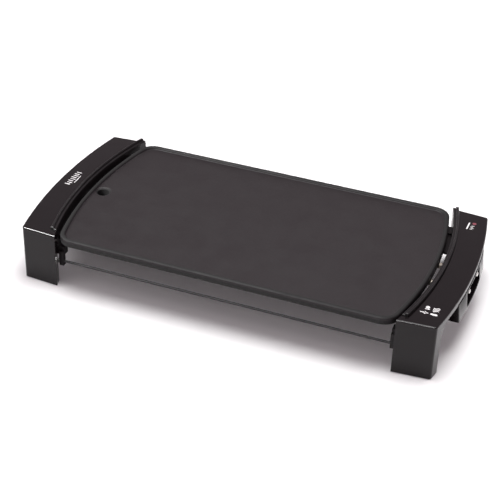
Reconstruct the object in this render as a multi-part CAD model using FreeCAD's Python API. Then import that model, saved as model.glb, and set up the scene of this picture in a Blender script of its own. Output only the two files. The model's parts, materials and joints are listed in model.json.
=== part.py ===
import FreeCAD, Part
import math
import os
from FreeCAD import Vector

os.makedirs("parts", exist_ok=True)

# Electric griddle: a coated cast plate that rests on two moulded stands.
# Millimetres. +X runs along the plate to the connector end, -Y is the front
# and +Z is up. The origin is on the worktop, under the middle of the griddle.

# ---- driving dimensions -------------------------------------------------

# griddle plate
plate_length = 470.0        # across the bowed ends, at the middle
plate_bow = 17.6            # how far each end bows out
plate_width = 268.0
plate_corner_r = 22.0
plate_height = 9.6          # rim top to underside
rim_width = 5.5
deck_drop = 3.5             # cooking surface below the rim top
rim_crown_r = 2.6           # rim's inner and outer top edges
rim_cove_r = 0.8            # where the rim's inner side meets the deck
drain_r = 8.0
drain_from_end = 16.0       # hole centre to the plate's left edge
drain_y = -4.0
drain_dish_r = 11.5
drain_dish_depth = 1.8
spout_wall = 2.0
spout_length = 8.5

# stands
stand_top = 75.9
plate_sunk = 1.8            # rim top below the stands' top faces
stand_width = 47.7
stand_outer_bow = 13.2
gap_at_corner = 4.0         # plate edge to stand, at the ends of the bow
gap_at_middle = 6.7         # plate edge to stand, at y = 0
stand_overhang = 0.25       # stand past the plate's front and back edges
stand_flare = 3.6           # inner corners lie this much further out in Y
wall = 3.0
skirt_height = 8.0
leg_depth = 16.0
arch_corner_r = 14.0
corner_r = 4.0
edge_r = 2.0
foot_lift = 1.0
foot_web = 5.0
foot_web_inset = 12.0       # web to the stand's inner edge
foot_pad_r = 6.0
foot_pad_height = 3.0

# inner frames
frame_end_inset = 12.0      # frame end to the stand's inner corner, in Y; only the ridge's tail runs on at the rear
ridge_width_end = 7.9
ridge_width_middle = 6.6
ridge_rise = 4.3
ridge_step_drop = 2.4
ridge_edge_r = 1.2
frame_wall_drop = 16.5      # frame's lower edge below the plate's underside
tab_length = 14.0
tab_reach = 15.0
tab_from_frame_end = 14.25
tab_from_housing = 11.0
rest_lug_inset = 32.0       # lug to the plate's front or back edge
rest_lug_length = 16.0
rest_lug_height = 6.5
rest_lug_past_pad = 1.0
shelf_past_bracket = 12.0   # right shelf's inner end to the terminal bracket, in Y
shelf_past_spout = 2.0      # left shelf's inner end to the drain spout, in Y
shelf_drop = 4.5            # shelf's top below the plate's underside
shelf_thickness = 3.0
shelf_under_plate = 8.0     # how far it reaches under the plate's end
rest_pad_size = 14.0
rest_pad_height = 2.0
rest_pad_inset = 16.4       # pad's outer edge to the plate's bowed end line

# tie rods
rod_d = 3.0
rod_inset = 11.5            # rod axis to the plate's front or back edge
rod_below_frame = 14.8      # rod axis below the frame's lower edge
rod_boss_x_gap = 0.3        # boss to the stand's inner corner
rod_boss_thickness = 5.7
rod_link_height = 6.0       # above and below the frame's lower edge
rod_boss_wall = 1.5
rod_link_length = 10.0
rod_boss_drop = 5.5         # rod axis to the boss's lower end
rod_nut_r = 4.0
rod_nut_thickness = 2.0

# heating element, terminals and sensor sleeve
element_d = 8.0
element_roof = 0.5          # casting between the element and the plate's underside
element_half_width = 78.0
element_end_inset = 62.0    # loop to the plate's bowed end line
element_bend_r = 20.0
rib_wall = 3.0
rib_past_axis = 2.0         # rib's lower edge below the element's axis
terminal_spacing = 40.0
pin_d = 6.0
pin_nose_r = 1.5
pin_neck_d = 4.8            # where it is held in the bead and sheath
pin_neck_gap = 0.5          # bead to the pin's full diameter
pin_from_outer = 2.0        # pin tip inside the housing face's lower edge
sheath_past_plate = 9.0
bead_length = 4.0
bead_wall = 1.5
pin_seat = 8.0              # pin held inside the sheath
sleeve_bore_d = 6.2
sleeve_wall = 1.3
sleeve_roof = 0.1           # sleeve to the plate's underside
sleeve_length = 42.0
bracket_thickness = 2.0
bracket_past_pin = 20.0
bracket_past_axis = 7.0
bracket_from_edge = 7.0
bracket_tab = 12.0
clamp_sheet = 1.2
clamp_width = 10.0
clamp_foot = 8.0
clamp_places = (-90.0, 60.0)

# terminal housing
housing_bay_width = 26.0
housing_proud = 3.2         # its face's lower edge past the cover's skirt
housing_lean = 2.6          # how far the face leans in, from its lower edge to its upper one
housing_depth = 31.5
housing_tuck = 1.1          # housing's top above the skirt's lower edge
housing_screw_inset = 10.5  # screw to the cover's inner wall
recess_beside_pin = 13.0
recess_above_pin = 6.0
recess_below_pin = 15.0

# drip tray and its rails
tray_half_width = 44.0
tray_past_drain = 16.0      # tray's inner end past the drain's centre
tray_bottom = 14.0
tray_below_frame = 10.8     # tray's top edge below the frame's lower edge
tray_sheet = 1.5
tray_flange = 5.0
pull_thickness = 3.0
pull_past_tray = 3.0
pull_below_tray = 2.0
pull_above_tray = 2.8
pull_lip = 7.0
pull_corner_r = 5.0
pull_grip_share = 0.5       # of the pull's width
tray_bottom_r = 4.0
rivet_r = 2.0
rivet_head_r = 3.0
rivet_head_height = 1.0
rivet_spacing = 52.8
rail_sheet = 2.5
rail_lip = 6.8
rail_post_length = 14.0
rail_post_reach = 18.0

# fasteners
screw_r = 1.75
screw_head_r = 3.4
screw_head_height = 2.0
screw_slot_width = 0.8
plate_screw_depth = 3.5     # into the casting
rail_screw_depth = 7.0
pilot_past_tip = 1.0
cover_boss_r = 4.5
cover_boss_length = 6.9

# clearances
seam = 0.3                  # between moulded pieces
running = 0.05              # radial, round a shaft
slide_gap = 0.2             # between sliding flat faces
seat_gap = 0.1              # round a pressed or bonded pad

# ---- values that follow from them ---------------------------------------

rest_height = stand_top - plate_sunk - plate_height
plate_half_length = plate_length / 2
plate_half_width = plate_width / 2
plate_end_x = plate_half_length - plate_bow
plate_top = rest_height + plate_height
deck_top = plate_top - deck_drop
inner_half_y = plate_half_width + stand_overhang
outer_half_y = inner_half_y - stand_flare
skirt_bottom = stand_top - skirt_height
cover_ceiling = stand_top - wall
frame_half_y = inner_half_y - frame_end_inset
frame_bottom = rest_height - frame_wall_drop
frame_tab_top = cover_ceiling - cover_boss_length
element_r = element_d / 2
element_z = rest_height - element_roof - element_r
rib_bottom = element_z - rib_past_axis
sleeve_r = sleeve_bore_d / 2 + sleeve_wall
sleeve_z = rest_height - sleeve_roof - sleeve_r
terminal_y = terminal_spacing / 2
bracket_half_width = terminal_y + bracket_past_pin
pin_r = pin_d / 2
pin_neck_r = pin_neck_d / 2
rod_r = rod_d / 2
rod_y = plate_half_width - rod_inset
rod_height = frame_bottom - rod_below_frame
rod_boss_width = rod_d + 2 * rod_boss_wall
recess_floor = element_z - recess_below_pin
recess_roof = element_z + recess_above_pin
housing_top = skirt_bottom + housing_tuck
recess_half_width = terminal_y + recess_beside_pin
housing_bottom = recess_floor - wall
housing_half_width = recess_half_width + housing_bay_width + 2 * wall
housing_screw_y = recess_half_width + wall + housing_bay_width / 2
tab_places = (housing_half_width + tab_from_housing, frame_half_y - tab_from_frame_end)
rest_lug_y = plate_half_width - rest_lug_inset
drain_x = drain_from_end - plate_half_length
tray_top = frame_bottom - tray_below_frame
pull_bottom = tray_bottom - pull_below_tray
pull_top = tray_top + pull_above_tray
tray_inner_end = -drain_x - tray_past_drain
pull_half_width = tray_half_width + pull_past_tray


class Bow:
    """A shallow arc in plan, from (end_x, -half_y) over (middle_x, 0) to (end_x, half_y)."""

    def __init__(self, end_x, middle_x, half_y):
        self.end_x = end_x
        self.middle_x = middle_x
        self.half_y = half_y

    def x_at(self, y):
        """The arc's x at a given y, from the circle through its three points."""
        rise = self.middle_x - self.end_x
        radius = (self.half_y ** 2 + rise ** 2) / (2 * rise)
        return self.middle_x - radius + math.sqrt(radius ** 2 - y ** 2)

    def shifted(self, dx):
        return Bow(self.end_x + dx, self.middle_x + dx, self.half_y)

    def reaching(self, half_y):
        """The same arc, ended at another y."""
        return Bow(self.x_at(half_y), self.middle_x, half_y)

    def points(self):
        return (
            Vector(self.end_x, -self.half_y, 0),
            Vector(self.middle_x, 0, 0),
            Vector(self.end_x, self.half_y, 0),
        )

    def edge(self):
        """The arc as an edge, or a straight edge where the bow is flat."""
        first, middle, last = self.points()
        if self.middle_x == self.end_x:
            return Part.LineSegment(first, last).toShape()
        return Part.Arc(first, middle, last).toShape()


inner_line = Bow(
    plate_end_x + gap_at_corner,
    plate_half_length + gap_at_middle,
    inner_half_y,
)
outer_end_x = inner_line.end_x + stand_width
outer_line = Bow(outer_end_x, outer_end_x + stand_outer_bow, outer_half_y)
housing_line = outer_line.shifted(housing_proud)
ridge_line = Bow(
    inner_line.end_x + ridge_width_end,
    inner_line.middle_x + ridge_width_middle,
    inner_half_y,
)
ridge_step_line = Bow(
    (inner_line.end_x + ridge_line.end_x) / 2,
    (inner_line.middle_x + ridge_line.middle_x) / 2,
    inner_half_y,
)


# ---- building blocks ----------------------------------------------------

def box(x_low, x_high, y_low, y_high, z_low, z_high):
    corner = Vector(x_low, y_low, z_low)
    return Part.makeBox(x_high - x_low, y_high - y_low, z_high - z_low, corner)


def upright(x, y, z_low, z_high, radius):
    return Part.makeCylinder(radius, z_high - z_low, Vector(x, y, z_low), Vector(0, 0, 1))


def lying(x_low, x_high, y, z, radius):
    return Part.makeCylinder(radius, x_high - x_low, Vector(x_low, y, z), Vector(1, 0, 0))


def plan_wire(inner, outer, z):
    """The outline between two bows, closed by straight ends, at height z."""
    inner_front, _, inner_back = inner.points()
    outer_front, _, outer_back = outer.points()
    edges = [
        inner.edge(),
        Part.LineSegment(inner_back, outer_back).toShape(),
        outer.edge(),
        Part.LineSegment(outer_front, inner_front).toShape(),
    ]
    wire = Part.Wire(Part.__sortEdges__(edges))
    wire.translate(Vector(0, 0, z))
    return wire


def strip(inner, outer, z_low, z_high):
    """The solid between two bows."""
    return Part.Face(plan_wire(inner, outer, z_low)).extrude(Vector(0, 0, z_high - z_low))


def leaning_strip(inner, low_outer, high_outer, z_low, z_high):
    """A strip whose outer face leans from one bow at its foot to another at its top."""
    return Part.makeLoft([plan_wire(inner, low_outer, z_low), plan_wire(inner, high_outer, z_high)], True, True)


def mirrored(shape):
    return shape.mirror(Vector(0, 0, 0), Vector(1, 0, 0))


def both_sides(y):
    return (-y, y)


def joined(shapes):
    first, rest = shapes[0], shapes[1:]
    return first.fuse(rest).removeSplitter() if rest else first


def save(name, shape):
    shape.exportStep("parts/" + name + ".step")
    print(name, "solids", len(shape.Solids), "valid", shape.isValid())


def save_group(name, shapes):
    save(name, Part.makeCompound(shapes))


def screw(x, y, seat_z, tip_z):
    """A pan-head screw driven up from below; its head bears on seat_z."""
    head = upright(x, y, seat_z - screw_head_height, seat_z, screw_head_r)
    head = head.makeFillet(screw_head_height * 0.4, [head.Edges[2]])
    slot = box(x - screw_head_r, x + screw_head_r, y - screw_slot_width / 2, y + screw_slot_width / 2,
               seat_z - screw_head_height, seat_z - screw_head_height / 2)
    shank = upright(x, y, seat_z, tip_z, screw_r)
    return head.cut(slot).fuse(shank)


def upright_edges(shape, near_x, tolerance):
    """Vertical edges whose x lies within tolerance of near_x."""
    found = []
    for edge in shape.Edges:
        span = edge.BoundBox
        is_upright = span.ZLength > 1 and span.XLength < 0.01 and span.YLength < 0.01
        if is_upright and abs(span.XMin - near_x) < tolerance:
            found.append(edge)
    return found


def level_edges(shape, z):
    """Edges that lie wholly at height z."""
    found = []
    for edge in shape.Edges:
        span = edge.BoundBox
        if abs(span.ZMin - z) < 0.01 and abs(span.ZMax - z) < 0.01:
            found.append(edge)
    return found


# ---- griddle plate ------------------------------------------------------

def plate_outline(inset, z_low, z_high):
    """The plate's plan shape, drawn in by inset, with rounded corners."""
    end_x = plate_end_x - inset
    half_y = plate_half_width - inset
    right = Bow(end_x, plate_half_length - inset, half_y)
    r0, r1, r2 = right.points()
    l0, l1, l2 = (Vector(-p.x, p.y, 0) for p in right.points())
    edges = [
        Part.Arc(r0, r1, r2).toShape(),
        Part.LineSegment(r2, l2).toShape(),
        Part.Arc(l2, l1, l0).toShape(),
        Part.LineSegment(l0, r0).toShape(),
    ]
    face = Part.Face(Part.Wire(edges))
    face.translate(Vector(0, 0, z_low))
    slab = face.extrude(Vector(0, 0, z_high - z_low))
    corners = upright_edges(slab, end_x, 0.5) + upright_edges(slab, -end_x, 0.5)
    return slab.makeFillet(plate_corner_r - inset, corners)


def element_points():
    """Corner points of the element's loop, from the front terminal to the rear one."""
    jog_x = plate_half_length - element_end_inset + element_bend_r
    far_x = element_end_inset - plate_half_length
    start_x = plate_half_length + sheath_past_plate
    return [
        Vector(start_x, -terminal_y, element_z),
        Vector(jog_x, -terminal_y, element_z),
        Vector(jog_x, -element_half_width, element_z),
        Vector(far_x, -element_half_width, element_z),
        Vector(far_x, element_half_width, element_z),
        Vector(jog_x, element_half_width, element_z),
        Vector(jog_x, terminal_y, element_z),
        Vector(start_x, terminal_y, element_z),
    ]


def element_path():
    """Straight runs joined by tangent arcs of the bend radius, at right angles."""
    points = element_points()
    edges = []
    run_start = points[0]
    for before, corner, after in zip(points, points[1:], points[2:]):
        into = (corner - before).normalize()
        out = (after - corner).normalize()
        arc_start = corner - into * element_bend_r
        arc_end = corner + out * element_bend_r
        centre = arc_start + out * element_bend_r
        crown = centre - (into * -1 + out).normalize() * element_bend_r
        edges.append(Part.LineSegment(run_start, arc_start).toShape())
        edges.append(Part.Arc(arc_start, crown, arc_end).toShape())
        run_start = arc_end
    edges.append(Part.LineSegment(run_start, points[-1]).toShape())
    return Part.Wire(edges)


def swept_band(half_width, z_low, z_high):
    """A rectangle carried along the element's path."""
    path = element_path()
    start = element_points()[0]
    corners = [
        Vector(start.x, start.y - half_width, z_low),
        Vector(start.x, start.y + half_width, z_low),
        Vector(start.x, start.y + half_width, z_high),
        Vector(start.x, start.y - half_width, z_high),
    ]
    profile = Part.makePolygon(corners + corners[:1])
    return path.makePipeShell([profile], True, False)


def clamp_centres():
    return [(x, side) for x in clamp_places for side in both_sides(element_half_width)]


def clamp_screw_places():
    offset = element_r + rib_wall + slide_gap + clamp_sheet + clamp_foot / 2
    return [(x, y + dy) for x, y in clamp_centres() for dy in both_sides(offset)]


def bracket_screw_places():
    x = plate_half_length - bracket_from_edge - bracket_tab / 2
    return [(x, y) for y in both_sides(bracket_half_width - bracket_tab / 2)]


def make_plate():
    slab = plate_outline(0, rest_height, plate_top)
    pocket = plate_outline(rim_width, deck_top, plate_top + 1)
    slab = slab.cut(pocket.makeFillet(rim_cove_r, level_edges(pocket, deck_top)))
    slab = slab.makeFillet(rim_crown_r, level_edges(slab, plate_top))

    rib = swept_band(element_r + rib_wall, rib_bottom, rest_height)
    rib_end = plate_half_length - bracket_from_edge - bracket_thickness
    rib = rib.common(box(-plate_length, rib_end, -plate_width, plate_width, 0, stand_top))
    spout = upright(drain_x, drain_y, rest_height - spout_length, rest_height, drain_r + spout_wall)
    slab = joined([slab, rib, spout])

    groove = swept_band(element_r + seat_gap, 0, element_z)
    tunnel = element_tube(element_r + seat_gap)
    hole = upright(drain_x, drain_y, 0, stand_top, drain_r)
    dish = Part.makeCone(drain_r, drain_dish_r, drain_dish_depth,
                         Vector(drain_x, drain_y, deck_top - drain_dish_depth), Vector(0, 0, 1))
    slab = slab.cut([groove, tunnel, hole, dish])
    pilots = [upright(x, y, rest_height, rest_height + plate_screw_depth + pilot_past_tip / 2, screw_r)
              for x, y in clamp_screw_places() + bracket_screw_places()]
    return slab.cut(pilots)


def element_tube(radius):
    path = element_path()
    start = element_points()[0]
    ring = Part.Wire(Part.makeCircle(radius, start, Vector(1, 0, 0)))
    return path.makePipeShell([ring], True, False)


def make_element():
    """The sheathed tube, with a blind socket in each end for its terminal pin."""
    tube = element_tube(element_r)
    end_x = plate_half_length + sheath_past_plate
    sockets = [lying(end_x - pin_seat, end_x + 1, y, element_z, pin_neck_r)
               for y in both_sides(terminal_y)]
    return tube.cut(sockets)


def make_pin(y):
    """A plug pin with a rounded nose and a thinner neck that the bead and sheath hold."""
    sheath_end = plate_half_length + sheath_past_plate
    shoulder_x = sheath_end + bead_length + pin_neck_gap
    tip_x = housing_line.middle_x - pin_from_outer
    pin = lying(shoulder_x, tip_x, y, element_z, pin_r)
    nose = [e for e in pin.Edges if abs(e.BoundBox.XMin - tip_x) < 0.01 and e.BoundBox.XLength < 0.01]
    pin = pin.makeFillet(pin_nose_r, nose)
    neck = lying(sheath_end - pin_seat, shoulder_x, y, element_z, pin_neck_r)
    return pin.fuse(neck)


def make_bead(y):
    x = plate_half_length + sheath_past_plate
    bead = lying(x, x + bead_length, y, element_z, pin_r + bead_wall)
    return bead.cut(lying(x - 1, x + bead_length + 1, y, element_z, pin_neck_r))


def make_bracket():
    """A steel angle under the plate's edge that holds both sheaths and the sleeve."""
    x_out = plate_half_length - bracket_from_edge
    face = box(x_out - bracket_thickness, x_out, -bracket_half_width, bracket_half_width,
               element_z - bracket_past_axis, rest_height)
    pieces = [face]
    for y in both_sides(bracket_half_width - bracket_tab / 2):
        pieces.append(box(x_out - bracket_tab, x_out, y - bracket_tab / 2, y + bracket_tab / 2,
                          rest_height - bracket_thickness, rest_height))
    holes = [lying(x_out - bracket_tab, x_out + 1, y, element_z, element_r + running)
             for y in both_sides(terminal_y)]
    holes.append(lying(x_out - bracket_tab, x_out + 1, 0, sleeve_z, sleeve_r + running))
    holes += [upright(x, y, 0, stand_top, screw_r + running) for x, y in bracket_screw_places()]
    return joined(pieces).cut(holes)


def make_sleeve():
    """The closed tube that the thermostat's probe slides into."""
    mouth_x = plate_half_length - bracket_from_edge + bracket_thickness
    closed_x = mouth_x - sleeve_length
    tube = lying(closed_x, mouth_x, 0, sleeve_z, sleeve_r)
    bore = lying(closed_x + sleeve_wall, mouth_x + 1, 0, sleeve_z, sleeve_bore_d / 2)
    return tube.cut(bore)


def make_clamp(x, y):
    """A hat-shaped strap over the element, with a screwed foot each side."""
    crown_low = element_z - element_r - clamp_sheet
    leg_in = element_r + rib_wall + slide_gap
    leg_out = leg_in + clamp_sheet
    x_low, x_high = x - clamp_width / 2, x + clamp_width / 2
    pieces = [box(x_low, x_high, y - leg_out, y + leg_out, crown_low, crown_low + clamp_sheet)]
    for side in (-1, 1):
        near, far, end = y + side * leg_in, y + side * leg_out, y + side * (leg_out + clamp_foot)
        pieces.append(box(x_low, x_high, min(near, far), max(near, far), crown_low, rest_height))
        pieces.append(box(x_low, x_high, min(far, end), max(far, end),
                          rest_height - clamp_sheet, rest_height))
    holes = [upright(sx, sy, 0, stand_top, screw_r + running) for sx, sy in clamp_screw_places()
             if sx == x and abs(sy - y) < leg_out + clamp_foot]
    return joined(pieces).cut(holes)


# ---- stands, drawn at the +X end ----------------------------------------

def foot_centre():
    x = (inner_line.end_x + outer_line.end_x) / 2
    y = outer_half_y - wall - (leg_depth - wall) / 2
    return x, y


def tab_centres():
    """Where the frame's tabs meet the cover's screw bosses."""
    return [(ridge_line.x_at(y) + tab_reach / 2 + seam, side)
            for y in tab_places for side in both_sides(y)]


def housing_screw_places():
    x = outer_line.x_at(housing_screw_y) - wall - housing_screw_inset
    return [(x, y) for y in both_sides(housing_screw_y)]


def cover_boss(x, y, z_low):
    return upright(x, y, z_low, cover_ceiling + 1, cover_boss_r)


def make_cover(with_housing):
    """A glossy shell: top, skirt and the two legs, open inwards and below."""
    body = strip(inner_line, outer_line, foot_lift, stand_top)
    body = body.makeFillet(corner_r, upright_edges(body, outer_line.end_x, 0.5))
    top_edges = [e for e in level_edges(body, stand_top) if e.BoundBox.XMax > inner_line.middle_x + 1]
    body = body.makeFillet(edge_r, top_edges)

    cavity_inner = inner_line.shifted(wall).reaching(inner_half_y - wall)
    cavity_outer = outer_line.shifted(-wall).reaching(outer_half_y - wall)
    shell = body.cut(strip(cavity_inner, cavity_outer, 0, cover_ceiling))

    arch_half = outer_half_y - leg_depth
    arch = box(inner_line.middle_x, outer_line.middle_x + 10, -arch_half, arch_half,
               -arch_corner_r, skirt_bottom)
    arch_edges = [e for e in level_edges(arch, skirt_bottom) if e.BoundBox.XLength > 1]
    shell = shell.cut(arch.makeFillet(arch_corner_r, arch_edges))

    frame_bay_inner = inner_line.shifted(-wall).reaching(frame_half_y + seam)
    frame_bay_outer = ridge_line.shifted(seam).reaching(frame_half_y + seam)
    shell = shell.cut(strip(frame_bay_inner, frame_bay_outer, 0, stand_top + 1))

    pad_x, pad_y = foot_centre()
    additions = []
    recesses = []
    for side in (-1, 1):
        y_near, y_far = side * (outer_half_y - leg_depth), side * (outer_half_y - wall / 2)
        web = box(inner_line.end_x + foot_web_inset, outer_line.end_x - corner_r / 2,
                  min(y_near, y_far), max(y_near, y_far), foot_lift, foot_lift + foot_web)
        additions.append(web)
        recesses.append(upright(pad_x, side * pad_y, 0, foot_pad_height, foot_pad_r + seat_gap))
    additions += [cover_boss(x, y, frame_tab_top) for x, y in tab_centres()]
    pilots = [upright(x, y, 0, cover_ceiling - seam, screw_r) for x, y in tab_centres()]
    if with_housing:
        additions += [cover_boss(x, y, housing_top) for x, y in housing_screw_places()]
        pilots += [upright(x, y, recess_roof, cover_ceiling - seam, screw_r)
                   for x, y in housing_screw_places()]
    return joined([shell] + additions).cut(recesses + pilots)


def rod_boss_faces():
    """Near and far x of a rod boss, measured from the middle of the griddle."""
    far_x = inner_line.end_x - rod_boss_x_gap
    return far_x - rod_boss_thickness, far_x


def rest_pad_outer_x():
    return plate_half_length - rest_pad_inset


def frame_shelves(near_y):
    """Level shelves that close the gap beside the plate, from the lugs in to near_y."""
    top = rest_height - shelf_drop
    reach = Bow(plate_end_x - shelf_under_plate, plate_half_length - shelf_under_plate, plate_half_width)
    band = strip(reach.reaching(rest_lug_y), inner_line.shifted(wall / 2).reaching(rest_lug_y),
                 top - shelf_thickness, top)
    middle = box(0, outer_line.middle_x, -near_y, near_y, 0, stand_top)
    return band.cut(middle).Solids


def make_frame(with_housing):
    """The inner frame: stepped ridge with a rear tail on the cover, wall, tabs, rod bosses and plate lugs."""
    tab_top = frame_tab_top
    low_top = stand_top + ridge_rise - ridge_step_drop
    high_top = stand_top + ridge_rise
    low_ridge = strip(inner_line, ridge_step_line, tab_top, low_top)
    high_ridge = strip(ridge_step_line, ridge_line, tab_top, high_top)
    front_end = box(0, outer_line.middle_x, -plate_width, -frame_half_y, 0, high_top + 1)
    under_tail = box(0, outer_line.middle_x, frame_half_y, plate_width, 0, stand_top + seam)
    ridge = joined([low_ridge, high_ridge]).cut([front_end, under_tail])
    crown_edges = level_edges(ridge, high_top) + [
        e for e in level_edges(ridge, low_top)
        if e.BoundBox.XMax < ridge_step_line.middle_x - 0.5
    ]
    ridge = ridge.makeFillet(ridge_edge_r, crown_edges)
    inner = inner_line.reaching(frame_half_y)
    wall_outer = inner_line.shifted(wall).reaching(frame_half_y)
    pieces = [ridge, strip(inner, wall_outer, frame_bottom, tab_top + 1)]

    for x, y in tab_centres():
        pieces.append(box(x - tab_reach / 2 - wall, x + tab_reach / 2, y - tab_length / 2,
                          y + tab_length / 2, tab_top - wall, tab_top))

    near_x, far_x = rod_boss_faces()
    link_y = frame_half_y - rod_link_length
    for side in (-1, 1):
        boss_near = side * (rod_y - rod_boss_width / 2)
        boss_far = side * (rod_y + rod_boss_width / 2)
        link_near, link_far = side * link_y, side * frame_half_y
        link_low = frame_bottom - rod_link_height
        link_high = frame_bottom + rod_link_height
        pieces.append(box(near_x, far_x, min(boss_near, boss_far), max(boss_near, boss_far),
                          rod_height - rod_boss_drop, frame_bottom))
        pieces.append(box(near_x, far_x, min(link_near, boss_far), max(link_near, boss_far),
                          link_low, frame_bottom))
        pieces.append(box(near_x, inner_line.x_at(link_y) + wall / 2, min(link_near, link_far),
                          max(link_near, link_far), link_low, link_high))
    lug_top = rest_height - rest_pad_height
    for y in both_sides(rest_lug_y):
        pieces.append(box(rest_pad_outer_x() - rest_pad_size - rest_lug_past_pad,
                          inner_line.x_at(y) + wall / 2,
                          y - rest_lug_length / 2, y + rest_lug_length / 2,
                          lug_top - rest_lug_height, lug_top))
    if with_housing:
        pieces += frame_shelves(bracket_half_width + shelf_past_bracket)
    else:
        pieces += frame_shelves(drain_r + spout_wall + abs(drain_y) + shelf_past_spout)
    if not with_housing:
        pieces += rail_posts()
    frame = joined(pieces)

    bores = [lying(near_x - 1, far_x + 1, y, rod_height, rod_r + running) for y in both_sides(rod_y)]
    bores += [upright(x, y, 0, tab_top + 1, screw_r + running) for x, y in tab_centres()]
    if with_housing:
        notch = recess_half_width + wall + 2
        bores.append(box(inner_line.end_x, ridge_line.middle_x + tab_reach, -notch, notch,
                         0, recess_roof))
    else:
        bores += [upright(x, y, frame_bottom, frame_bottom + rail_screw_depth + pilot_past_tip, screw_r)
                  for x, y in rail_screw_places()]
    return frame.cut(bores)


def make_rod(y):
    end_x = rod_boss_faces()[1] + rod_nut_thickness
    return lying(-end_x, end_x, y, rod_height, rod_r)


def hexagon(x, y, z, corner_radius):
    """A face across X with six corners."""
    corners = [Vector(x, y + corner_radius * math.sin(turn), z + corner_radius * math.cos(turn))
               for turn in (k * math.pi / 3 for k in range(6))]
    return Part.Face(Part.makePolygon(corners + corners[:1]))


def make_rod_nuts():
    far_x = rod_boss_faces()[1]
    nuts = []
    for y in both_sides(rod_y):
        nut = hexagon(far_x, y, rod_height, rod_nut_r).extrude(Vector(rod_nut_thickness, 0, 0))
        nut = nut.cut(lying(far_x - 1, far_x + rod_nut_thickness + 1, y, rod_height, rod_r))
        nuts += [nut, mirrored(nut)]
    return nuts


def make_foot_pads():
    pad_x, pad_y = foot_centre()
    pads = []
    for y in both_sides(pad_y):
        pad = upright(pad_x, y, 0, foot_pad_height, foot_pad_r)
        pads += [pad, mirrored(pad)]
    return pads


def make_rest_pads():
    """Heat-proof pads on the lugs; the plate lies on them."""
    outer_x = rest_pad_outer_x()
    pads = []
    for y in both_sides(rest_lug_y):
        pad = box(outer_x - rest_pad_size, outer_x, y - rest_pad_size / 2, y + rest_pad_size / 2,
                  rest_height - rest_pad_height, rest_height)
        pads += [pad, mirrored(pad)]
    return pads


def make_cover_screws():
    """The screws that go up through a frame's tabs into its cover's bosses."""
    tab_low = frame_tab_top - wall
    screws = [screw(x, y, tab_low, cover_ceiling - seam) for x, y in tab_centres()]
    return screws + [mirrored(s) for s in screws]


# ---- terminal housing, at the +X end ------------------------------------

def make_housing():
    """A box under the cover with the socket that the connector enters."""
    back_x = housing_line.middle_x - housing_depth
    rear = Bow(back_x, back_x, housing_half_width)
    face_line = housing_line.reaching(housing_half_width)
    tucked = outer_line.shifted(-wall - seam).reaching(housing_half_width)
    face_top_line = housing_line.shifted(-housing_lean).reaching(housing_half_width)
    lined = face_top_line.shifted(-wall)
    front_box = leaning_strip(rear, face_line, face_top_line, housing_bottom, skirt_bottom - seam)
    rounded = [e for e in level_edges(front_box, housing_bottom) if e.BoundBox.XMax > tucked.end_x + 1]
    rounded += [e for e in front_box.Edges
                if e.BoundBox.ZLength > 1 and e.BoundBox.XMax > tucked.end_x + 1]
    front_box = front_box.makeFillet(edge_r / 2, rounded)
    body = joined([front_box, strip(rear, tucked, skirt_bottom - seam, housing_top)])
    cuts = [box(back_x - 5, housing_line.middle_x + 5, -recess_half_width, recess_half_width,
                recess_floor, recess_roof)]
    for side in (-1, 1):
        y_near = side * (recess_half_width + wall)
        y_far = side * (housing_half_width - wall)
        bay = box(back_x - 5, housing_line.middle_x, min(y_near, y_far), max(y_near, y_far),
                  recess_floor, recess_roof)
        cuts.append(bay.common(strip(rear.shifted(-5), lined, recess_floor, recess_roof)))
    cuts += [upright(x, y, recess_roof - 1, housing_top + 1, screw_r + running)
             for x, y in housing_screw_places()]
    return body.cut(cuts)


def make_housing_screws():
    return [screw(x, y, recess_roof, cover_ceiling - seam) for x, y in housing_screw_places()]


# ---- drip tray and rails, drawn at the +X end and mirrored ---------------

def rail_web_faces():
    near = tray_half_width + tray_flange + slide_gap
    return near, near + rail_sheet


def rail_screw_places():
    x = inner_line.middle_x + wall + rail_post_reach / 2
    y = rail_web_faces()[1] + rail_post_length / 2 - rail_sheet
    return [(x, side) for side in both_sides(y)]


def rail_posts():
    """Posts on the left frame that the tray's rails hang from."""
    posts = []
    for x, y in rail_screw_places():
        posts.append(box(inner_line.x_at(y), x + rail_post_reach / 2, y - rail_post_length / 2,
                         y + rail_post_length / 2, frame_bottom, frame_tab_top))
    return posts


def tray_outer_end():
    return housing_line.middle_x - pull_thickness


def make_rail(side):
    """A folded steel rail: hanging web, lip under the tray's flange, screwed top flange."""
    near, far = rail_web_faces()
    lip_near = far - rail_lip
    lip_top = tray_top - tray_sheet - slide_gap
    x_high = outer_line.x_at(far) - wall
    x_screw, y_screw = rail_screw_places()[1]
    web = box(tray_inner_end + 1, x_high, near, far, lip_top - rail_sheet, frame_bottom)
    lip = box(tray_inner_end + 1, x_high, lip_near, far, lip_top - rail_sheet, lip_top)
    flange = box(x_screw - rail_post_reach / 2, x_screw + rail_post_reach / 2, near,
                 y_screw + rail_post_length / 2, frame_bottom - rail_sheet, frame_bottom)
    rail = joined([web, lip, flange]).cut(upright(x_screw, y_screw, 0, stand_top, screw_r + running))
    if side < 0:
        rail = rail.mirror(Vector(0, 0, 0), Vector(0, 1, 0))
    return mirrored(rail)


def make_rail_screws():
    screws = [screw(x, y, frame_bottom - rail_sheet, frame_bottom + rail_screw_depth)
              for x, y in rail_screw_places()]
    return [mirrored(s) for s in screws]


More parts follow.
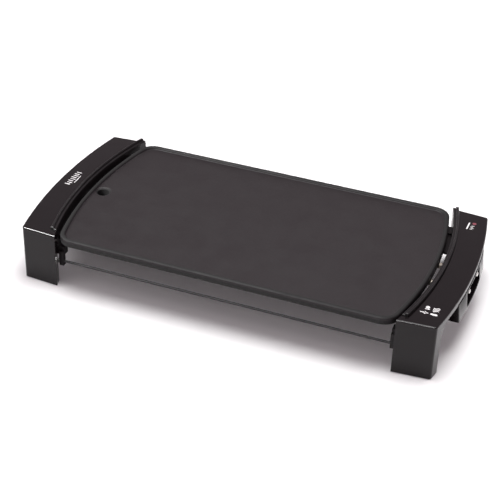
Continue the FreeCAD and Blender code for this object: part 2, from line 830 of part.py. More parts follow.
def make_tray():
    """A pressed pan with a turned-out flange along each side."""
    end_x = tray_outer_end()
    pan = box(tray_inner_end, end_x, -tray_half_width, tray_half_width, tray_bottom, tray_top)
    pan = pan.makeFillet(tray_bottom_r, [e for e in pan.Edges if abs(e.BoundBox.ZMax - tray_bottom) < 0.01])
    inside = box(tray_inner_end + tray_sheet, end_x - tray_sheet, tray_sheet - tray_half_width,
                 tray_half_width - tray_sheet, tray_bottom + tray_sheet, tray_top + 1)
    inside = inside.makeFillet(
        tray_bottom_r - tray_sheet,
        [e for e in inside.Edges if abs(e.BoundBox.ZMax - tray_bottom - tray_sheet) < 0.01],
    )
    pieces = [pan.cut(inside)]
    for side in (-1, 1):
        y_near = side * (tray_half_width - tray_sheet)
        y_far = side * (tray_half_width + tray_flange)
        pieces.append(box(tray_inner_end, end_x - wall, min(y_near, y_far), max(y_near, y_far),
                          tray_top - tray_sheet, tray_top))
    holes = [lying(end_x - tray_sheet - 1, end_x + 1, y, z, rivet_r) for y, z in rivet_places()]
    return mirrored(joined(pieces).cut(holes))


def rivet_places():
    return [(y, (tray_bottom + tray_top) / 2) for y in both_sides(rivet_spacing / 2)]


def make_pull():
    """The moulded front of the tray, as far out as the housing's face, with a finger lip."""
    x = tray_outer_end()
    plate = box(x, x + pull_thickness, -pull_half_width, pull_half_width, pull_bottom, pull_top)
    corners = [e for e in plate.Edges if e.BoundBox.XLength > 1]
    plate = plate.makeFillet(pull_corner_r, corners)
    grip_half = pull_half_width * pull_grip_share
    grip = box(x - pull_lip, x + pull_thickness, -grip_half, grip_half,
               pull_bottom - pull_thickness, pull_bottom + pull_thickness / 3)
    holes = [lying(x - 1, x + pull_thickness + 1, y, z, rivet_r) for y, z in rivet_places()]
    return mirrored(joined([plate, grip]).cut(holes))


def make_rivets():
    """Rivets through the tray's end and its pull."""
    rivets = []
    x = tray_outer_end()
    for y, z in rivet_places():
        shank = lying(x - tray_sheet, x + pull_thickness, y, z, rivet_r)
        head = lying(x - tray_sheet - rivet_head_height, x - tray_sheet, y, z, rivet_head_r)
        rivets.append(mirrored(shank.fuse(head)))
    return rivets


# ---- write every piece --------------------------------------------------

save("griddle_plate", make_plate())
save("heating_element", make_element())
save_group("terminal_pins", [make_pin(y) for y in both_sides(terminal_y)])
save_group("terminal_beads", [make_bead(y) for y in both_sides(terminal_y)])
save("terminal_bracket", make_bracket())
save("sensor_sleeve", make_sleeve())
save_group("element_clamps", [make_clamp(x, y) for x, y in clamp_centres()])
save_group("clamp_screws", [screw(x, y, rest_height - clamp_sheet, rest_height + plate_screw_depth)
                            for x, y in clamp_screw_places()])
save_group("bracket_screws", [screw(x, y, rest_height - bracket_thickness, rest_height + plate_screw_depth)
                              for x, y in bracket_screw_places()])
save("right_cover", make_cover(True))
save("left_cover", mirrored(make_cover(False)))
save("right_inner_frame", make_frame(True))
save("left_inner_frame", mirrored(make_frame(False)))
save("front_rod", make_rod(-rod_y))
save("rear_rod", make_rod(rod_y))
save_group("rod_nuts", make_rod_nuts())
save_group("foot_pads", make_foot_pads())
save_group("rest_pads", make_rest_pads())
save_group("cover_screws", make_cover_screws())
save("terminal_housing", make_housing())
save_group("housing_screws", make_housing_screws())
save("front_tray_rail", make_rail(-1))
save("rear_tray_rail", make_rail(1))
save_group("rail_screws", make_rail_screws())
save("drip_tray", make_tray())
save("tray_pull", make_pull())
save_group("pull_rivets", make_rivets())
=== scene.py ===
# %% [markdown]
# # An electric griddle in Blender
# The shape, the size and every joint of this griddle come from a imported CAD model. Blender adds what a
# drawing doesn't hold: the grain of the non-stick coating, the gloss of the moulded covers, the prints, the
# light and the camera. Everything here is in metres, with +X towards the connector socket, -Y at the front
# and +Z up.

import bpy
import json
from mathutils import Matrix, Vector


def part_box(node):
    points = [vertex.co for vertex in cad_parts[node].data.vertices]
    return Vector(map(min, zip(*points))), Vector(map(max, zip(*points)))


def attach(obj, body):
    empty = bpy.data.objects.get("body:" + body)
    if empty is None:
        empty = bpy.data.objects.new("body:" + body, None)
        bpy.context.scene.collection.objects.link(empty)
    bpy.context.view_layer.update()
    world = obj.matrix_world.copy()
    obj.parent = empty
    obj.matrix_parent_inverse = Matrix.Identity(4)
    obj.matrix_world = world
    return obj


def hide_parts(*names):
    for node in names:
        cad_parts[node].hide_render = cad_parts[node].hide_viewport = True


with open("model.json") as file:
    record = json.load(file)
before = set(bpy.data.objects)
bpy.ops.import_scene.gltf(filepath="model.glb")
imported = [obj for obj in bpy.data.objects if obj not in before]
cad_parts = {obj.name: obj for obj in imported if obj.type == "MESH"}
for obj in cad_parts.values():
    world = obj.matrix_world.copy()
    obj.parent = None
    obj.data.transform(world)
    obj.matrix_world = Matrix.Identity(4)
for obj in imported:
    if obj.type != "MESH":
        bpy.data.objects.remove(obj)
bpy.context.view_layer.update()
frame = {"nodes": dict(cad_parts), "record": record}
nodes = frame["nodes"]

# %% Other modules
import json
import math

import bmesh
import bpy
import numpy as np
from mathutils import Matrix, Vector

scene = bpy.context.scene
mm = 0.001

# %% [markdown]
# ## The camera
# A tabletop product is usually shown from nearly two metres away, with a long lens, so that its far side
# isn't much smaller than its near side. The camera could be aimed with a Track To constraint. Here its
# matrix is built from three angles instead, because the view also leans by nearly two degrees, which a
# constraint would level out.

# %% Place the camera
view_azimuth = math.radians(20.385)     # round from the front, towards the socket
view_elevation = math.radians(33.332)   # above the worktop
view_lean = math.radians(-1.819)
view_distance = 1727.8 * mm
view_slide = Vector((8.60 * mm, -27.59 * mm))   # of the origin, right of and above the view's middle
lens_mm = 94.95
sensor_mm = 36.0


def camera_matrix():
    """World matrix whose columns are the camera's right, up and back, turned by the lean about back."""
    back = Vector((
        math.sin(view_azimuth) * math.cos(view_elevation),
        -math.cos(view_azimuth) * math.cos(view_elevation),
        math.sin(view_elevation),
    ))
    right = Vector((math.cos(view_azimuth), math.sin(view_azimuth), 0.0))
    up = back.cross(right)
    lean = Matrix.Rotation(view_lean, 3, "Z")
    to_camera = lean @ Matrix((right, up, back))
    to_world = to_camera.transposed()
    place = to_world @ Vector((-view_slide.x, -view_slide.y, view_distance))
    return Matrix.Translation(place) @ to_world.to_4x4()


camera_data = bpy.data.cameras.new("view_camera")
camera_data.lens = lens_mm
camera_data.sensor_width = sensor_mm
camera_data.clip_end = 20.0
camera = bpy.data.objects.new("view_camera", camera_data)
camera.matrix_world = camera_matrix()
scene.collection.objects.link(camera)
scene.camera = camera
print("camera at", [round(v, 3) for v in camera.matrix_world.translation])

# %% [markdown]
# ## The floor
# The griddle stands on a plain white surface. One way is a studio backdrop that curves up behind the object.
# A flat floor under a white world is simpler and looks right from every side.

# %% Make the floor
floor_reach = 12.0


def make_floor():
    """A white square on the ground. It belongs to the stage, so it is no piece of the griddle."""
    low, high = -floor_reach, floor_reach
    mesh = bpy.data.meshes.new("studio_floor")
    mesh.from_pydata([(low, low, 0), (high, low, 0), (high, high, 0), (low, high, 0)], [], [(0, 1, 2, 3)])
    floor = bpy.data.objects.new("studio_floor", mesh)
    scene.collection.objects.link(floor)
    white = bpy.data.materials.new("studio_white")
    white.use_nodes = True
    shader = white.node_tree.nodes["Principled BSDF"]
    shader.inputs["Base Color"].default_value = (0.93, 0.93, 0.93, 1)
    shader.inputs["Roughness"].default_value = 0.9
    shader.inputs["Specular IOR Level"].default_value = 0.2
    mesh.materials.append(white)
    return floor


floor = make_floor()
print("floor:", 2 * floor_reach, "m wide, named", floor.name)

# %% [markdown]
# ## The white room
# A single white world would light the griddle evenly and leave it flat. White walls round a table give more
# light from low down than from above, so a ramp on the direction of each ray does the same. The camera's own
# rays skip the ramp and see plain white.

# %% Make the world
bright_below = 0.22     # heights of a ray's direction, where 1 points straight up
dim_above = 0.5


def make_world(low_colour, high_colour, seen_colour):
    """A room with one colour near the floor and another above, behind which the camera sees a third."""
    world = bpy.data.worlds.new("white_room")
    world.use_nodes = True
    tree = world.node_tree
    room = tree.nodes["Background"]
    direction = tree.nodes.new("ShaderNodeTexCoord")
    parts = tree.nodes.new("ShaderNodeSeparateXYZ")
    ramp = tree.nodes.new("ShaderNodeValToRGB")
    ramp.color_ramp.elements[0].position = bright_below
    ramp.color_ramp.elements[0].color = (*low_colour, 1)
    ramp.color_ramp.elements[1].position = dim_above
    ramp.color_ramp.elements[1].color = (*high_colour, 1)
    tree.links.new(direction.outputs["Generated"], parts.inputs["Vector"])
    tree.links.new(parts.outputs["Z"], ramp.inputs["Fac"])
    tree.links.new(ramp.outputs["Color"], room.inputs["Color"])
    seen = tree.nodes.new("ShaderNodeBackground")
    seen.inputs["Color"].default_value = (*seen_colour, 1)
    ray = tree.nodes.new("ShaderNodeLightPath")
    mix = tree.nodes.new("ShaderNodeMixShader")
    tree.links.new(ray.outputs["Is Camera Ray"], mix.inputs["Fac"])
    tree.links.new(room.outputs["Background"], mix.inputs[1])
    tree.links.new(seen.outputs["Background"], mix.inputs[2])
    tree.links.new(mix.outputs["Shader"], tree.nodes["World Output"].inputs["Surface"])
    scene.world = world


make_world(low_colour=(0.98, 0.90, 0.935), high_colour=(0.44, 0.385, 0.408), seen_colour=(1, 1, 1))
scene.view_settings.view_transform = "Standard"
scene.view_settings.look = "None"
print("world:", scene.world.name)

# %% [markdown]
# ## Soft boxes
# A glossy black moulding gives back hardly any light of its own: what the eye sees on it is the reflection of
# something bright. One wide soft box overhead lights everything. Two narrower strips, each aimed at the front
# of one stand, are seen by reflections only, because their full power would lift every matt surface too.

# %% Hang the soft boxes
def add_soft_box(name, place, aim, width, depth, power, only_gloss=False):
    """An area light at a place, turned so that its -Z looks at the aim. It may feed only the reflections."""
    data = bpy.data.lights.new(name, "AREA")
    data.shape = "RECTANGLE"
    data.size = width
    data.size_y = depth
    data.energy = power
    light = bpy.data.objects.new(name, data)
    facing = (Vector(place) - Vector(aim)).to_track_quat("Z", "Y")
    light.matrix_world = Matrix.Translation(place) @ facing.to_matrix().to_4x4()
    light.visible_diffuse = not only_gloss
    scene.collection.objects.link(light)
    return light


left_front = (-0.25, -0.13, 0.07)
right_front = (0.25, -0.13, 0.07)
add_soft_box("overhead_box", (0.1, 0.2, 2.2), (0, 0, 0), width=1.3, depth=1.3, power=56)
add_soft_box("left_strip", (-1.25, -1.2, 1.6), left_front, width=0.9, depth=0.4, power=240,
             only_gloss=True)
add_soft_box("right_strip", (0.05, -1.35, 1.75), right_front, width=0.6, depth=0.25, power=28,
             only_gloss=True)

# %% [markdown]
# ## Finishes
# Each finish is a small node tree on Object coordinates, so that its grain has a real size in millimetres and
# stays on the piece when the piece moves. An image could hold the grain instead, but it would have to be
# unwrapped onto every piece. Five short helpers make the parts of such a tree.

# %% Build a finish from noise
noise_low, noise_high = 0.3, 0.7    # nearly all values of a noise lie between these two
finer_share = 0.55                  # strength of each finer layer of a noise, over the layer before it
grain_detail, patch_detail = 4.0, 3.0   # how many finer layers a grain has, and a patch


def new_finish(name):
    """An empty finish: the material, its node tree, its shader and the place on the piece."""
    finish = bpy.data.materials.new(name)
    finish.use_nodes = True
    tree = finish.node_tree
    shader = tree.nodes["Principled BSDF"]
    place = tree.nodes.new("ShaderNodeTexCoord")
    return finish, tree, shader, place.outputs["Object"]


def noise(tree, place, grain_mm, detail=grain_detail, stretch=(1, 1, 1)):
    """Noise whose grains are about grain_mm wide, stretched by a factor along each axis."""
    mapping = tree.nodes.new("ShaderNodeMapping")
    mapping.inputs["Scale"].default_value = [1 / s for s in stretch]
    tree.links.new(place, mapping.inputs["Vector"])
    node = tree.nodes.new("ShaderNodeTexNoise")
    node.inputs["Scale"].default_value = 1 / (grain_mm * mm)
    node.inputs["Detail"].default_value = detail
    node.inputs["Roughness"].default_value = finer_share
    tree.links.new(mapping.outputs["Vector"], node.inputs["Vector"])
    return node.outputs["Fac"]


def spread(tree, value, low, high, from_low=noise_low, from_high=noise_high):
    """The value carried from one range of numbers to another, and held at the ends."""
    node = tree.nodes.new("ShaderNodeMapRange")
    node.inputs["From Min"].default_value = from_low
    node.inputs["From Max"].default_value = from_high
    node.inputs["To Min"].default_value = low
    node.inputs["To Max"].default_value = high
    tree.links.new(value, node.inputs["Value"])
    return node.outputs["Result"]


def tint(tree, value, first, second):
    """A colour between two colours, by the value of a noise."""
    node = tree.nodes.new("ShaderNodeValToRGB")
    node.color_ramp.elements[0].position = noise_low
    node.color_ramp.elements[0].color = (*first, 1)
    node.color_ramp.elements[1].position = noise_high
    node.color_ramp.elements[1].color = (*second, 1)
    tree.links.new(value, node.inputs["Fac"])
    return node.outputs["Color"]


def raise_grain(tree, shader, height, depth_mm):
    """Bumps that rise by depth_mm where the height goes from 0 to 1."""
    node = tree.nodes.new("ShaderNodeBump")
    node.inputs["Strength"].default_value = 1.0
    node.inputs["Distance"].default_value = depth_mm * mm
    tree.links.new(height, node.inputs["Height"])
    tree.links.new(node.outputs["Normal"], shader.inputs["Normal"])


# %% [markdown]
# Most finishes here differ only in colour, grain and gloss, so one function makes them all: two close colours
# mixed by fine noise, a patchy roughness and a raised grain. A flat colour would look like a render. On a
# real moulding or casting no two places are quite alike.

# %% A grained finish
def grained(name, first, second, grain_mm, rough, rough_grain_mm, depth_mm, metallic=0.0, specular=0.5,
            stretch=(1, 1, 1)):
    """Two close colours mixed by fine noise, a roughness that is patchy between two values, and bumps."""
    finish, tree, shader, place = new_finish(name)
    grain = noise(tree, place, grain_mm, stretch=stretch)
    tree.links.new(tint(tree, grain, first, second), shader.inputs["Base Color"])
    patches = noise(tree, place, rough_grain_mm, detail=patch_detail)
    tree.links.new(spread(tree, patches, *rough), shader.inputs["Roughness"])
    shader.inputs["Metallic"].default_value = metallic
    shader.inputs["Specular IOR Level"].default_value = specular
    raise_grain(tree, shader, grain, depth_mm)
    return finish


# %% [markdown]
# The plate is cast aluminium with a sprayed non-stick coat. The coat is a fine orange peel with light flecks
# on the deck. On the rim's crown and on the sides it is rougher, so it looks duller, and its colour there is
# darkened as painted shade.
# Height tells the deck from the rest, so the finish reads the Z coordinate. A mask painted by hand would have
# to be done again for every new size.

# %% The plate's coat
crown_start, crown_full = 2.2 * mm, 0.5 * mm    # all four are depths below the top of the rim
side_start, side_full = 3.9 * mm, 5.0 * mm
coat_grain_mm = 0.9
coat_patch_mm = 30
coat_rough = (0.5, 0.62)
coat_specular = 0.22
crown_dulling = 0.25
rim_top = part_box("griddle_plate")[1][2]


def coated_plate_finish():
    """Light flecks on the deck; a rougher coat with painted shade in its colour on the rim's crown and below
    the deck's level.
    """
    finish, tree, shader, place = new_finish("coated_plate")
    parts = tree.nodes.new("ShaderNodeSeparateXYZ")
    tree.links.new(place, parts.inputs["Vector"])
    above = spread(tree, parts.outputs["Z"], 0, 1, rim_top - crown_start, rim_top - crown_full)
    below = spread(tree, parts.outputs["Z"], 1, 0, rim_top - side_full, rim_top - side_start)
    either = tree.nodes.new("ShaderNodeMath")
    either.operation = "MAXIMUM"
    tree.links.new(above, either.inputs[0])
    tree.links.new(below, either.inputs[1])
    # This mask marks the rim's crown, the sides and the underside: it darkens the colour there as painted
    # shade, and it also makes the coat rougher.
    dull_and_painted_shade = either.outputs["Value"]
    grain = noise(tree, place, coat_grain_mm)
    deck = tint(tree, grain, (0.0062, 0.0040, 0.0049), (0.0150, 0.0100, 0.0119))
    # Painted shade: a coat colour about four times darker, used on the crown, the sides and the underside.
    dark = tint(tree, grain, (0.0015, 0.0010, 0.0012), (0.0035, 0.0024, 0.0028))
    mix = tree.nodes.new("ShaderNodeMix")
    mix.data_type = "RGBA"
    tree.links.new(dull_and_painted_shade, mix.inputs["Factor"])
    tree.links.new(deck, mix.inputs["A"])
    tree.links.new(dark, mix.inputs["B"])
    tree.links.new(mix.outputs["Result"], shader.inputs["Base Color"])
    patches = noise(tree, place, coat_patch_mm, detail=patch_detail)
    dulled = tree.nodes.new("ShaderNodeMath")
    dulled.operation = "ADD"
    tree.links.new(spread(tree, patches, *coat_rough), dulled.inputs[0])
    tree.links.new(spread(tree, dull_and_painted_shade, 0.0, crown_dulling, 0, 1), dulled.inputs[1])
    tree.links.new(dulled.outputs["Value"], shader.inputs["Roughness"])
    shader.inputs["Specular IOR Level"].default_value = coat_specular
    raise_grain(tree, shader, grain, depth_mm=0.05)
    return finish


finishes = {"coated_plate": coated_plate_finish()}
print("coated up to z =", round(rim_top, 4), "m")

# %% [markdown]
# The covers and the terminal housing are moulded in glossy black plastic, the frames beside the plate and the
# tray's pull in a satin one. Pure black would hide every edge, so both are a very dark warm grey. What sets
# them apart is the roughness, which decides how sharp the soft boxes look in them.

# %% The mouldings
def dress_slot(slot, first, second, **look):
    """A grained finish, kept under the name of the slot that it dresses."""
    finishes[slot] = grained(slot, first, second, **look)


dress_slot("gloss_shell", (0.0055, 0.0040, 0.0045), (0.0070, 0.0052, 0.0058), grain_mm=2.0,
           rough=(0.13, 0.19), rough_grain_mm=25, depth_mm=0.002, specular=0.24)
dress_slot("satin_frame", (0.004, 0.0028, 0.0032), (0.007, 0.005, 0.0057), grain_mm=0.6,
           rough=(0.34, 0.46), rough_grain_mm=20, depth_mm=0.01, specular=0.18)
print("finishes:", len(finishes))

# %% [markdown]
# A bare metal has no colour but that of its reflections, so its finish is fully metallic. The screws are
# zinc-plated, the brackets and rails are pressed from plated sheet, the element's sheath is browned by heat,
# and the nickel on the pins is the smoothest. The tie rods are blackened, which covers the metal: they are
# dark and dull, with a grain that is drawn out along the rod.

# %% The metals
dress_slot("tie_rod_steel", (0.010, 0.009, 0.0095), (0.022, 0.020, 0.021), grain_mm=0.5,
           rough=(0.5, 0.65), rough_grain_mm=12, depth_mm=0.004, specular=0.15, stretch=(20, 1, 1))
dress_slot("fastener_steel", (0.42, 0.42, 0.41), (0.6, 0.6, 0.58), grain_mm=0.8,
           rough=(0.25, 0.42), rough_grain_mm=3, depth_mm=0.01, metallic=1.0)
dress_slot("sheet_steel", (0.40, 0.40, 0.40), (0.56, 0.56, 0.56), grain_mm=3.0,
           rough=(0.28, 0.45), rough_grain_mm=12, depth_mm=0.01, metallic=1.0)
dress_slot("sheath_steel", (0.10, 0.085, 0.075), (0.26, 0.23, 0.20), grain_mm=6.0,
           rough=(0.35, 0.55), rough_grain_mm=15, depth_mm=0.01, metallic=1.0)
dress_slot("pin_nickel", (0.62, 0.61, 0.58), (0.75, 0.74, 0.71), grain_mm=0.6,
           rough=(0.12, 0.28), rough_grain_mm=4, depth_mm=0.003, metallic=1.0)
print("finishes:", len(finishes))

# %% [markdown]
# The rest are unglazed ceramic, rubber, silicone and the dark enamel of the drip tray. All but the enamel are
# dull, and the rubber of the feet is the dullest.

# %% Ceramic, rubber, silicone and enamel
dress_slot("bead_ceramic", (0.72, 0.69, 0.62), (0.82, 0.80, 0.74), grain_mm=0.5,
           rough=(0.55, 0.75), rough_grain_mm=3, depth_mm=0.02)
dress_slot("foot_rubber", (0.012, 0.0115, 0.0118), (0.022, 0.021, 0.0215), grain_mm=0.4,
           rough=(0.7, 0.85), rough_grain_mm=4, depth_mm=0.03)
dress_slot("pad_silicone", (0.05, 0.05, 0.05), (0.08, 0.08, 0.08), grain_mm=0.5,
           rough=(0.55, 0.7), rough_grain_mm=5, depth_mm=0.02)
dress_slot("tray_coated", (0.016, 0.015, 0.0155), (0.028, 0.026, 0.027), grain_mm=1.2,
           rough=(0.3, 0.42), rough_grain_mm=20, depth_mm=0.02)
print("finishes:", len(finishes))

# %% [markdown]
# ## Softened edges
# The CAD solids have their large roundings already, but a folded bracket or a moulded wall still ends in a
# mathematically sharp edge, which never catches light. Rounding every edge in CAD would be slow and fragile.
# A modifier stack does it here: Weld joins the loose triangles, a planar Decimate joins the flat ones into
# whole faces, and Bevel rounds what is left of the sharp edges by a fraction of a millimetre.

# %% Soften the edges of the flat-sided nodes
weld_reach = 0.002 * mm
flat_angle = math.radians(0.5)
sharp_angle = math.radians(35)
edge_radius_mm = {
    "tray_pull": 0.8,
    "terminal_bracket": 0.3,
    "element_clamps": 0.25,
    "front_tray_rail": 0.3,
    "rear_tray_rail": 0.3,
    "rest_pads": 0.5,
    "terminal_housing": 0.4,
}


def soften(piece, radius_mm):
    """Joins a CAD node's triangles into faces and rounds the sharp edges between them."""
    weld = piece.modifiers.new("weld", "WELD")
    weld.merge_threshold = weld_reach
    flatten = piece.modifiers.new("flatten", "DECIMATE")
    flatten.decimate_type = "DISSOLVE"
    flatten.angle_limit = flat_angle
    bevel = piece.modifiers.new("bevel", "BEVEL")
    bevel.width = radius_mm * mm
    bevel.segments = 2
    bevel.limit_method = "ANGLE"
    bevel.angle_limit = sharp_angle
    bevel.harden_normals = True


for name, radius_mm in edge_radius_mm.items():
    soften(nodes[name], radius_mm)
print("softened nodes:", len(edge_radius_mm))

# %% [markdown]
# ## Finishes on the pieces
# The record of the CAD model gives every node a slot, which is the name of what it is made of. One loop can
# therefore dress them all, and a piece of the same stuff can't end up with another finish by mistake.

# %% Give every CAD node its finish
slot_of = {part["node"]: part["material_slot"] for part in frame["record"]["subparts"]}
for name, node in nodes.items():
    node.data.materials.clear()
    node.data.materials.append(finishes[slot_of[name]])
print("dressed nodes:", len(nodes), "in finishes:", len(finishes))

# %% [markdown]
# ## New pieces from arrays
# Where a piece needs more than a finish, it is made as a surface worked out with numpy: a grid of points, one
# row per step along the piece and one column per step round it. Modelling by hand would give the same mesh,
# but a formula keeps every size in view. Points that meet at a pole or a seam are merged, and the normals are
# then turned outwards.

# %% Turn a grid of points into a piece
merge_reach = 1e-6
crease_angle = math.radians(40)


def grid_faces(rows, columns):
    """Quads between neighbouring rows and columns of points. The last column meets the first again."""
    row, column = np.meshgrid(np.arange(rows - 1), np.arange(columns), indexing="ij")
    beside = (column + 1) % columns
    here, above = row * columns, (row + 1) * columns
    quads = np.stack([here + column, here + beside, above + beside, above + column], -1)
    return quads.reshape(-1, 4)


def make_piece(name, points, faces, body, finish, smooth=True):
    """A mesh from an (n, 3) array of points in metres and its faces. It rides on a body."""
    mesh = bpy.data.meshes.new(name)
    mesh.from_pydata(points.tolist(), [], [list(face) for face in faces])
    edit = bmesh.new()
    edit.from_mesh(mesh)
    bmesh.ops.remove_doubles(edit, verts=edit.verts, dist=merge_reach)
    bmesh.ops.recalc_face_normals(edit, faces=edit.faces)
    edit.to_mesh(mesh)
    edit.free()
    mesh.polygons.foreach_set("use_smooth", np.full(len(mesh.polygons), smooth))
    mesh.set_sharp_from_angle(angle=crease_angle)
    mesh.materials.append(finish)
    piece = bpy.data.objects.new(name, mesh)
    scene.collection.objects.link(piece)
    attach(piece, body)
    print(name, "faces:", len(mesh.polygons))
    return piece


# %% [markdown]
# ## Printed marks
# The covers carry small white prints: a mark on the left one, and symbols for the heat on the right one. A
# print could be painted into the material with a mask. It is made as thin ink here, a twentieth of a
# millimetre thick, because its outlines then stay sharp from any distance. The symbols are plain bars, dots
# and waves.

# %% Raise an outline into ink
ink_thickness = 0.05 * mm
cover_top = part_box("right_cover")[1][2]


def ink_shape(outline):
    """A closed outline, as an (n, 2) array in metres, raised into a thin slab on the cover's top."""
    steps = len(outline)
    low = np.column_stack([outline, np.full(steps, cover_top)])
    high = np.column_stack([outline, np.full(steps, cover_top + ink_thickness)])
    ring = np.arange(steps)
    beside = (ring + 1) % steps
    sides = np.column_stack([ring, beside, beside + steps, ring + steps])
    caps = [list(ring[::-1]), list(ring + steps)]
    return np.vstack([low, high]), [list(face) for face in sides] + caps


def print_mark(name, outlines, finish):
    """One print from several outlines, on the top of a cover."""
    points, faces, first = [], [], 0
    for outline in outlines:
        slab_points, slab_faces = ink_shape(outline)
        points.append(slab_points)
        faces += [[first + i for i in face] for face in slab_faces]
        first += len(slab_points)
    return make_piece(name, np.vstack(points), faces, "stand", finish, smooth=False)


print("ink lies on z =", round(cover_top, 4), "m")

# %% [markdown]
# Three outlines are enough for all the marks. Their sizes and places are in millimetres on the cover's top,
# as a printer's drawing would give them, and each function turns them into metres at the end.

# %% The outlines of a mark
bar_end_steps = 8
curve_steps = 24


def rounded_bar(centre, length, width, turn=0.0):
    """Outline of a bar with half-round ends: two half circles, joined by straight sides, then turned."""
    half = np.linspace(-math.pi / 2, math.pi / 2, bar_end_steps)
    right = np.column_stack([(length - width) / 2 + width / 2 * np.cos(half), width / 2 * np.sin(half)])
    flat = np.vstack([right, -right])
    spin = np.array([[math.cos(turn), math.sin(turn)], [-math.sin(turn), math.cos(turn)]])
    return (flat @ spin + centre) * mm


def bar_row(start, pitch, count, stagger, length, width):
    """Outlines of bars one behind the other, with every second one a stagger further to the right."""
    centres = [(start[0] + stagger * (k % 2), start[1] + pitch * k) for k in range(count)]
    return [rounded_bar(centre, length, width) for centre in centres]


def disc(centre, radius):
    """Outline of a circle."""
    turn = np.arange(curve_steps) / curve_steps * 2 * math.pi
    return (np.column_stack([np.cos(turn), np.sin(turn)]) * radius + centre) * mm


def wave(centre, length, width, swing):
    """Outline of a ribbon along one sine wave, half its width to each side."""
    along = np.linspace(-0.5, 0.5, curve_steps)
    middle = np.sin(along * 2 * math.pi) * swing
    edge = np.concatenate([middle + width / 2, (middle - width / 2)[::-1]])
    flat = np.column_stack([np.concatenate([along, along[::-1]]) * length, edge])
    return (flat + centre) * mm


# %% [markdown]
# The ink is matt, so that it can be read against the gloss. The left cover has a row of bars over a rule. The
# right one has a lamp, three waves of heat and a few bars at the front, and a scale with a small red light at
# the back.

# %% Print the marks
def ink(name, first, second):
    """Matt ink with a faint mottle."""
    return grained(name, first, second, grain_mm=0.4, rough=(0.55, 0.7), rough_grain_mm=2.0, depth_mm=0.01)


white_ink = ink("white_ink", (0.66, 0.65, 0.65), (0.78, 0.77, 0.77))
red_ink = ink("red_ink", (0.16, 0.02, 0.035), (0.22, 0.03, 0.05))
quarter = math.pi / 2

left_mark = bar_row((-267.0, -13.0), pitch=4.6, count=8, stagger=0.9, length=7.5, width=1.7)
left_rule = [rounded_bar((-260.3, 3.0), 20.0, 1.2, quarter)]
print_mark("left_stand_print", left_mark + left_rule, white_ink)

lamp = [disc((249.0, -94.6), radius=2.5), rounded_bar((249.0, -98.4), 6.0, 1.5)]
heat_waves = [wave((259.5, y), length=7.6, width=1.5, swing=0.9) for y in (-93.6, -96.4, -99.2)]
heat_bars = [
    rounded_bar((247.4, -106.0), 10.0, 1.7),
    rounded_bar((248.4, -106.0), 5.5, 1.6, quarter),
    rounded_bar((259.0, -106.4), 8.6, 3.4),
]
print_mark("heat_symbols_print", lamp + heat_waves + heat_bars, white_ink)

rear_rule = [rounded_bar((250.0, 100.0), 17.0, 1.8, quarter)]
rear_scale = bar_row((255.0, 93.5), pitch=2.8, count=4, stagger=1.2, length=3.6, width=1.1)
print_mark("rear_bars_print", rear_rule + rear_scale, white_ink)
print_mark("rear_light_print", [disc((256.5, 108.0), radius=2.6)], red_ink)

# %% [markdown]
# ## Turned pieces
# The foot pads and the terminal beads are round, so each is a profile turned about its own axis. The Screw
# modifier could turn it too. An array does it in one step and tells where every point lies. The size and the
# place of each one are read from the CAD solid that it takes over from.

# %% Turn a profile about an axis
turn_steps = 64


def solid_boxes(node, reach_mm):
    """Lowest and highest corner of each solid in a node whose solids lie further apart than the reach."""
    mesh = nodes[node].data
    points = np.empty(len(mesh.vertices) * 3, np.float32)
    mesh.vertices.foreach_get("co", points)
    points = points.reshape(-1, 3).astype(float)
    boxes = []
    while len(points):
        mine = np.linalg.norm(points - points[0], axis=1) < reach_mm * mm
        boxes.append((points[mine].min(axis=0), points[mine].max(axis=0)))
        points = points[~mine]
    return boxes


def turned(profile, centre, axis):
    """Points of (radius, height) rows turned about X, which is axis 0, or Z, axis 2, through a centre."""
    turn = np.arange(turn_steps) / turn_steps * 2 * math.pi
    radius = profile[:, :1]
    height = np.repeat(profile[:, 1:], turn_steps, axis=1)
    across, beside = radius * np.cos(turn), radius * np.sin(turn)
    order = (across, beside, height) if axis == 2 else (height, across, beside)
    return np.stack(order, -1).reshape(-1, 3) + centre


def turned_solids(profiles, centres, axis):
    """Points and faces of several turned solids in one mesh: each profile about its own centre."""
    rows = len(profiles[0])
    first_solid = grid_faces(rows, turn_steps)
    points = [turned(profile, centre, axis) for profile, centre in zip(profiles, centres)]
    faces = [first_solid + k * rows * turn_steps for k in range(len(profiles))]
    return np.vstack(points), np.vstack(faces)


# %% [markdown]
# ## Foot pads
# Each leg stands on a glued rubber pad. A real one has rings moulded into its underside, which grip a worktop
# and let it slide off a wet one less. Boolean grooves cut into the CAD cylinder would do it. A turned profile
# is shorter, and gives round lips as well. The lowest point stays on the worktop.

# %% Turn the foot pads
pad_lip = 0.5 * mm
pad_top_edge = 0.2 * mm
pad_grooves = ((0.76, 0.60), (0.42, 0.26))  # outer and inner edge of each one, over the pad's radius
groove_depth = 0.45 * mm
groove_slope = 0.12 * mm


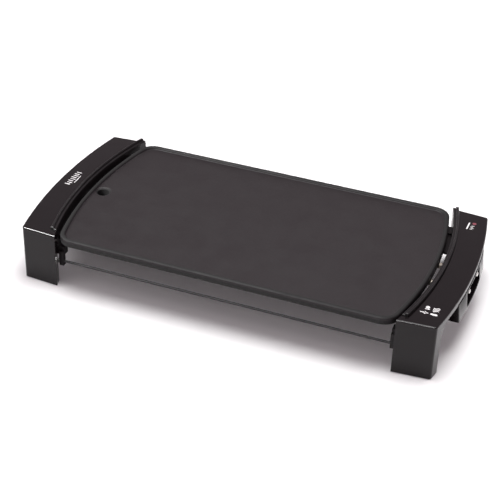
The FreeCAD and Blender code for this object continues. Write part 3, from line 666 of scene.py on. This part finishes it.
def pad_profile(radius, height):
    """Down the side, round the lip and in over two grooves to the middle of the underside."""
    top = [(0.0, height), (radius - pad_top_edge, height), (radius, height - pad_top_edge)]
    turn = np.linspace(0, math.pi / 2, 6)
    lip = np.column_stack([radius - pad_lip + pad_lip * np.cos(turn), pad_lip - pad_lip * np.sin(turn)])
    grooves = []
    for outer, inner in pad_grooves:
        grooves += [(radius * outer, 0.0), (radius * outer - groove_slope, groove_depth),
                    (radius * inner + groove_slope, groove_depth), (radius * inner, 0.0)]
    return np.vstack([top, lip, grooves, [(0.0, 0.0)]])


pad_boxes = solid_boxes("foot_pads", reach_mm=20)
pad_profiles = [pad_profile((high[0] - low[0]) / 2, high[2] - low[2]) for low, high in pad_boxes]
pad_feet = [np.array([(low[0] + high[0]) / 2, (low[1] + high[1]) / 2, low[2]]) for low, high in pad_boxes]
pad_points, pad_faces = turned_solids(pad_profiles, pad_feet, 2)
pads = make_piece("ringed_foot_pads", pad_points, pad_faces, "stand",
                  finishes["foot_rubber"])
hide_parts("foot_pads")

# %% [markdown]
# ## Terminal beads
# A ceramic bead closes each end of the element's sheath and holds the pin clear of the metal. Pressed
# steatite beads are waisted, with a collar at each end, because a straight cylinder has nothing for the crimp
# to hold. The same turning function makes them, about X this time.

# %% Turn the beads
bead_bore = 0.534       # radii at the bore and at the waist, over the collar's
bead_waist = 0.86
collar_end = 0.22       # where a collar ends and the waist starts, over the bead's length
waist_start = 0.25
bead_edge = 0.3 * mm


def bead_profile(radius, length):
    """Over one collar, down to the waist along half a sine wave, over the other and back in the bore."""
    bore = radius * bead_bore
    along = np.linspace(0, 1, 9)
    first_collar = [(bore, 0.0), (radius - bead_edge, 0.0), (radius, bead_edge),
                    (radius, length * collar_end)]
    waist = np.column_stack([
        radius - radius * (1 - bead_waist) * np.sin(math.pi * along),
        length * (waist_start + (1 - 2 * waist_start) * along),
    ])
    last_collar = [(radius, length * (1 - collar_end)), (radius, length - bead_edge),
                   (radius - bead_edge, length), (bore, length), (bore, 0.0)]
    return np.vstack([first_collar, waist, last_collar])


bead_boxes = solid_boxes("terminal_beads", reach_mm=15)
bead_profiles = [bead_profile((high[2] - low[2]) / 2, high[0] - low[0]) for low, high in bead_boxes]
bead_ends = [np.array([low[0], (low[1] + high[1]) / 2, (low[2] + high[2]) / 2]) for low, high in bead_boxes]
bead_points, bead_faces = turned_solids(bead_profiles, bead_ends, 0)
beads = make_piece("waisted_beads", bead_points, bead_faces, "plate",
                   finishes["bead_ceramic"])
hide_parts("terminal_beads")
